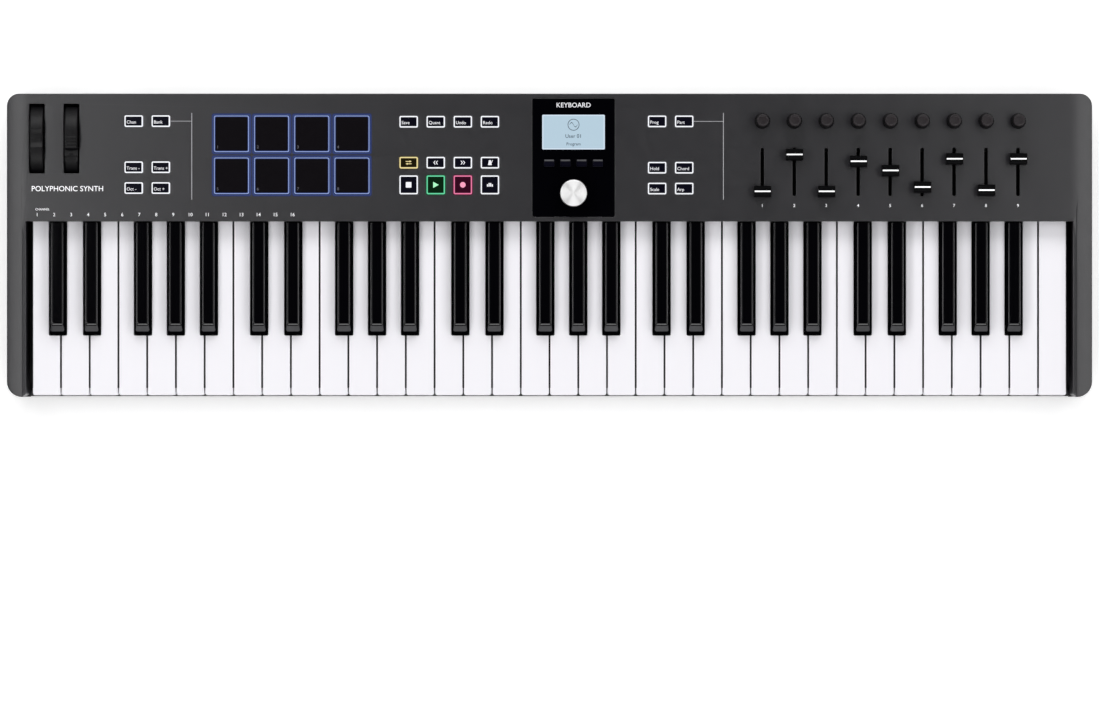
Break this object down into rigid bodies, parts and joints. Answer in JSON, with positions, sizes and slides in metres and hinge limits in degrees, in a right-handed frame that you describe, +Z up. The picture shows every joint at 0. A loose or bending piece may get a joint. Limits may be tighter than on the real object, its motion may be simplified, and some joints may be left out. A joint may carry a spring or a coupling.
{
  "type": "synthesizer",
  "caption": "Controller synthesizer: full-size keys, pitch and modulation wheels, drum pads, lit buttons, screen, endless knobs and slide faders.",
  "frame": {"origin": "centre of the footprint, on the surface that the rubber feet stand on", "axes": "+X to the player's right, +Y to the rear, +Z up"},
  "size_m": [0.889, 0.2476, 0.0717],
  "materials": {
    "case_plastic": "fine satin texture",
    "steel_frame": "bright zinc plate",
    "circuit_board": "solder mask",
    "rubber": "matte",
    "felt": "pressed felt",
    "dark_plastic": "satin",
    "gloss_cover": "polished",
    "screen": "lit panel",
    "bright_metal": "turned, satin",
    "screw_metal": "dark plated",
    "wheel_rubber": "soft matte",
    "pad_rubber": "soft matte",
    "black_key": "polished top with satin edges",
    "white_key": "smooth semi-gloss",
    "button_plastic": "satin with a lit rim",
    "knob_plastic": "fine knurl",
    "gloss_plastic": "polished"
  },
  "bodies": {
    "case": {"bottom_case": "case_plastic", "top_case": "case_plastic", "end_cheeks": "case_plastic", "keybed_chassis": "steel_frame", "key_contact_board": "circuit_board", "key_domes": "rubber", "key_felts": "felt", "wheel_bracket": "dark_plastic", "display_cover": "gloss_cover", "display_module": "screen", "main_board": "circuit_board", "control_board": "circuit_board", "encoder_bodies": "steel_frame", "fader_bodies": "steel_frame", "pedal_jack": "dark_plastic", "midi_socket": "dark_plastic", "usb_socket": "bright_metal", "rubber_feet": "rubber", "case_screws": "screw_metal"},
    "keys_c": {"keys_c": "white_key"},
    "keys_c_sharp": {"keys_c_sharp": "black_key"},
    "keys_d": {"keys_d": "white_key"},
    "keys_d_sharp": {"keys_d_sharp": "black_key"},
    "keys_e": {"keys_e": "white_key"},
    "keys_f": {"keys_f": "white_key"},
    "keys_f_sharp": {"keys_f_sharp": "black_key"},
    "keys_g": {"keys_g": "white_key"},
    "keys_g_sharp": {"keys_g_sharp": "black_key"},
    "keys_a": {"keys_a": "white_key"},
    "keys_a_sharp": {"keys_a_sharp": "black_key"},
    "keys_b": {"keys_b": "white_key"},
    "pitch_wheel": {"pitch_wheel": "wheel_rubber"},
    "mod_wheel": {"mod_wheel": "wheel_rubber"},
    "encoder_plunger": {"encoder_plunger": "dark_plastic"},
    "main_knob": {"main_knob": "bright_metal"},
    "drum_pads": {"drum_pads": "pad_rubber"},
    "left_buttons": {"left_buttons": "button_plastic"},
    "edit_buttons": {"edit_buttons": "button_plastic"},
    "loop_buttons": {"loop_buttons": "button_plastic"},
    "transport_buttons": {"transport_buttons": "button_plastic"},
    "screen_buttons": {"screen_buttons": "button_plastic"},
    "right_buttons": {"right_buttons": "button_plastic"},
    "knob_1": {"knob_1": "knob_plastic"},
    "knob_2": {"knob_2": "knob_plastic"},
    "knob_3": {"knob_3": "knob_plastic"},
    "knob_4": {"knob_4": "knob_plastic"},
    "knob_5": {"knob_5": "knob_plastic"},
    "knob_6": {"knob_6": "knob_plastic"},
    "knob_7": {"knob_7": "knob_plastic"},
    "knob_8": {"knob_8": "knob_plastic"},
    "knob_9": {"knob_9": "knob_plastic"},
    "fader_1": {"fader_1": "gloss_plastic"},
    "fader_2": {"fader_2": "gloss_plastic"},
    "fader_3": {"fader_3": "gloss_plastic"},
    "fader_4": {"fader_4": "gloss_plastic"},
    "fader_5": {"fader_5": "gloss_plastic"},
    "fader_6": {"fader_6": "gloss_plastic"},
    "fader_7": {"fader_7": "gloss_plastic"},
    "fader_8": {"fader_8": "gloss_plastic"},
    "fader_9": {"fader_9": "gloss_plastic"}
  },
  "joints": [
    {"name": "keys_c_press", "type": "hinge", "parent": "case", "child": "keys_c", "pos_m": [0, 0.038, 0.033], "axis": [1, 0, 0], "range_deg": [0, 3.57], "stiffness_Nm_per_rad": 12, "springref_deg": -3.44},
    {"name": "keys_c_sharp_press", "type": "hinge", "parent": "case", "child": "keys_c_sharp", "pos_m": [0, 0.038, 0.033], "axis": [1, 0, 0], "range_deg": [0, 3.57], "stiffness_Nm_per_rad": 10, "springref_deg": -3.44},
    {"name": "keys_d_press", "type": "hinge", "parent": "case", "child": "keys_d", "pos_m": [0, 0.038, 0.033], "axis": [1, 0, 0], "range_deg": [0, 3.57], "stiffness_Nm_per_rad": 10, "springref_deg": -3.44},
    {"name": "keys_d_sharp_press", "type": "hinge", "parent": "case", "child": "keys_d_sharp", "pos_m": [0, 0.038, 0.033], "axis": [1, 0, 0], "range_deg": [0, 3.57], "stiffness_Nm_per_rad": 10, "springref_deg": -3.44},
    {"name": "keys_e_press", "type": "hinge", "parent": "case", "child": "keys_e", "pos_m": [0, 0.038, 0.033], "axis": [1, 0, 0], "range_deg": [0, 3.57], "stiffness_Nm_per_rad": 10, "springref_deg": -3.44},
    {"name": "keys_f_press", "type": "hinge", "parent": "case", "child": "keys_f", "pos_m": [0, 0.038, 0.033], "axis": [1, 0, 0], "range_deg": [0, 3.57], "stiffness_Nm_per_rad": 10, "springref_deg": -3.44},
    {"name": "keys_f_sharp_press", "type": "hinge", "parent": "case", "child": "keys_f_sharp", "pos_m": [0, 0.038, 0.033], "axis": [1, 0, 0], "range_deg": [0, 3.57], "stiffness_Nm_per_rad": 10, "springref_deg": -3.44},
    {"name": "keys_g_press", "type": "hinge", "parent": "case", "child": "keys_g", "pos_m": [0, 0.038, 0.033], "axis": [1, 0, 0], "range_deg": [0, 3.57], "stiffness_Nm_per_rad": 10, "springref_deg": -3.44},
    {"name": "keys_g_sharp_press", "type": "hinge", "parent": "case", "child": "keys_g_sharp", "pos_m": [0, 0.038, 0.033], "axis": [1, 0, 0], "range_deg": [0, 3.57], "stiffness_Nm_per_rad": 10, "springref_deg": -3.44},
    {"name": "keys_a_press", "type": "hinge", "parent": "case", "child": "keys_a", "pos_m": [0, 0.038, 0.033], "axis": [1, 0, 0], "range_deg": [0, 3.57], "stiffness_Nm_per_rad": 10, "springref_deg": -3.44},
    {"name": "keys_a_sharp_press", "type": "hinge", "parent": "case", "child": "keys_a_sharp", "pos_m": [0, 0.038, 0.033], "axis": [1, 0, 0], "range_deg": [0, 3.57], "stiffness_Nm_per_rad": 10, "springref_deg": -3.44},
    {"name": "keys_b_press", "type": "hinge", "parent": "case", "child": "keys_b", "pos_m": [0, 0.038, 0.033], "axis": [1, 0, 0], "range_deg": [0, 3.57], "stiffness_Nm_per_rad": 10, "springref_deg": -3.44},
    {"name": "pitch_wheel_bend", "type": "hinge", "parent": "case", "child": "pitch_wheel", "pos_m": [-0.4182, 0.0871, 0.0321], "axis": [-1, 0, 0], "range_deg": [-28, 28], "stiffness_Nm_per_rad": 0.08},
    {"name": "mod_wheel_turn", "type": "hinge", "parent": "case", "child": "mod_wheel", "pos_m": [-0.39, 0.0871, 0.0321], "axis": [-1, 0, 0], "range_deg": [0, 55]},
    {"name": "main_knob_push", "type": "slide", "parent": "case", "child": "encoder_plunger", "axis": [0, 0, -1], "range_m": [0, 0.0005], "stiffness_N_per_m": 4000, "springref_m": -0.0005},
    {"name": "main_knob_turn", "type": "hinge", "parent": "encoder_plunger", "child": "main_knob", "pos_m": [0.0196, 0.0424, 0.055], "axis": [0, 0, 1], "continuous": true},
    {"name": "knob_1_turn", "type": "hinge", "parent": "case", "child": "knob_1", "pos_m": [0.1736, 0.1013, 0.055], "axis": [0, 0, 1], "continuous": true},
    {"name": "knob_2_turn", "type": "hinge", "parent": "case", "child": "knob_2", "pos_m": [0.19967, 0.1013, 0.055], "axis": [0, 0, 1], "continuous": true},
    {"name": "knob_3_turn", "type": "hinge", "parent": "case", "child": "knob_3", "pos_m": [0.22574, 0.1013, 0.055], "axis": [0, 0, 1], "continuous": true},
    {"name": "knob_4_turn", "type": "hinge", "parent": "case", "child": "knob_4", "pos_m": [0.25181, 0.1013, 0.055], "axis": [0, 0, 1], "continuous": true},
    {"name": "knob_5_turn", "type": "hinge", "parent": "case", "child": "knob_5", "pos_m": [0.27788, 0.1013, 0.055], "axis": [0, 0, 1], "continuous": true},
    {"name": "knob_6_turn", "type": "hinge", "parent": "case", "child": "knob_6", "pos_m": [0.30395, 0.1013, 0.055], "axis": [0, 0, 1], "continuous": true},
    {"name": "knob_7_turn", "type": "hinge", "parent": "case", "child": "knob_7", "pos_m": [0.33002, 0.1013, 0.055], "axis": [0, 0, 1], "continuous": true},
    {"name": "knob_8_turn", "type": "hinge", "parent": "case", "child": "knob_8", "pos_m": [0.35609, 0.1013, 0.055], "axis": [0, 0, 1], "continuous": true},
    {"name": "knob_9_turn", "type": "hinge", "parent": "case", "child": "knob_9", "pos_m": [0.38216, 0.1013, 0.055], "axis": [0, 0, 1], "continuous": true},
    {"name": "fader_1_slide", "type": "slide", "parent": "case", "child": "fader_1", "axis": [0, 1, 0], "range_m": [0, 0.03]},
    {"name": "fader_2_slide", "type": "slide", "parent": "case", "child": "fader_2", "axis": [0, 1, 0], "range_m": [-0.03, 0]},
    {"name": "fader_3_slide", "type": "slide", "parent": "case", "child": "fader_3", "axis": [0, 1, 0], "range_m": [0, 0.03]},
    {"name": "fader_4_slide", "type": "slide", "parent": "case", "child": "fader_4", "axis": [0, 1, 0], "range_m": [-0.0245, 0.0055]},
    {"name": "fader_5_slide", "type": "slide", "parent": "case", "child": "fader_5", "axis": [0, 1, 0], "range_m": [-0.017, 0.013]},
    {"name": "fader_6_slide", "type": "slide", "parent": "case", "child": "fader_6", "axis": [0, 1, 0], "range_m": [-0.0035, 0.0265]},
    {"name": "fader_7_slide", "type": "slide", "parent": "case", "child": "fader_7", "axis": [0, 1, 0], "range_m": [-0.0265, 0.0035]},
    {"name": "fader_8_slide", "type": "slide", "parent": "case", "child": "fader_8", "axis": [0, 1, 0], "range_m": [-0.001, 0.029]},
    {"name": "fader_9_slide", "type": "slide", "parent": "case", "child": "fader_9", "axis": [0, 1, 0], "range_m": [-0.0265, 0.0035]},
    {"name": "drum_pads_press", "type": "slide", "parent": "case", "child": "drum_pads", "axis": [0, 0, -1], "range_m": [0, 0.0005], "stiffness_N_per_m": 24000, "springref_m": -0.0005},
    {"name": "left_buttons_press", "type": "slide", "parent": "case", "child": "left_buttons", "axis": [0, 0, -1], "range_m": [0, 0.0008], "stiffness_N_per_m": 6000, "springref_m": -0.0005},
    {"name": "edit_buttons_press", "type": "slide", "parent": "case", "child": "edit_buttons", "axis": [0, 0, -1], "range_m": [0, 0.0008], "stiffness_N_per_m": 4000, "springref_m": -0.0005},
    {"name": "loop_buttons_press", "type": "slide", "parent": "case", "child": "loop_buttons", "axis": [0, 0, -1], "range_m": [0, 0.0008], "stiffness_N_per_m": 4000, "springref_m": -0.0005},
    {"name": "transport_buttons_press", "type": "slide", "parent": "case", "child": "transport_buttons", "axis": [0, 0, -1], "range_m": [0, 0.0008], "stiffness_N_per_m": 4000, "springref_m": -0.0005},
    {"name": "screen_buttons_press", "type": "slide", "parent": "case", "child": "screen_buttons", "axis": [0, 0, -1], "range_m": [0, 0.0008], "stiffness_N_per_m": 4000, "springref_m": -0.0005},
    {"name": "right_buttons_press", "type": "slide", "parent": "case", "child": "right_buttons", "axis": [0, 0, -1], "range_m": [0, 0.0008], "stiffness_N_per_m": 6000, "springref_m": -0.0005}
  ]
}
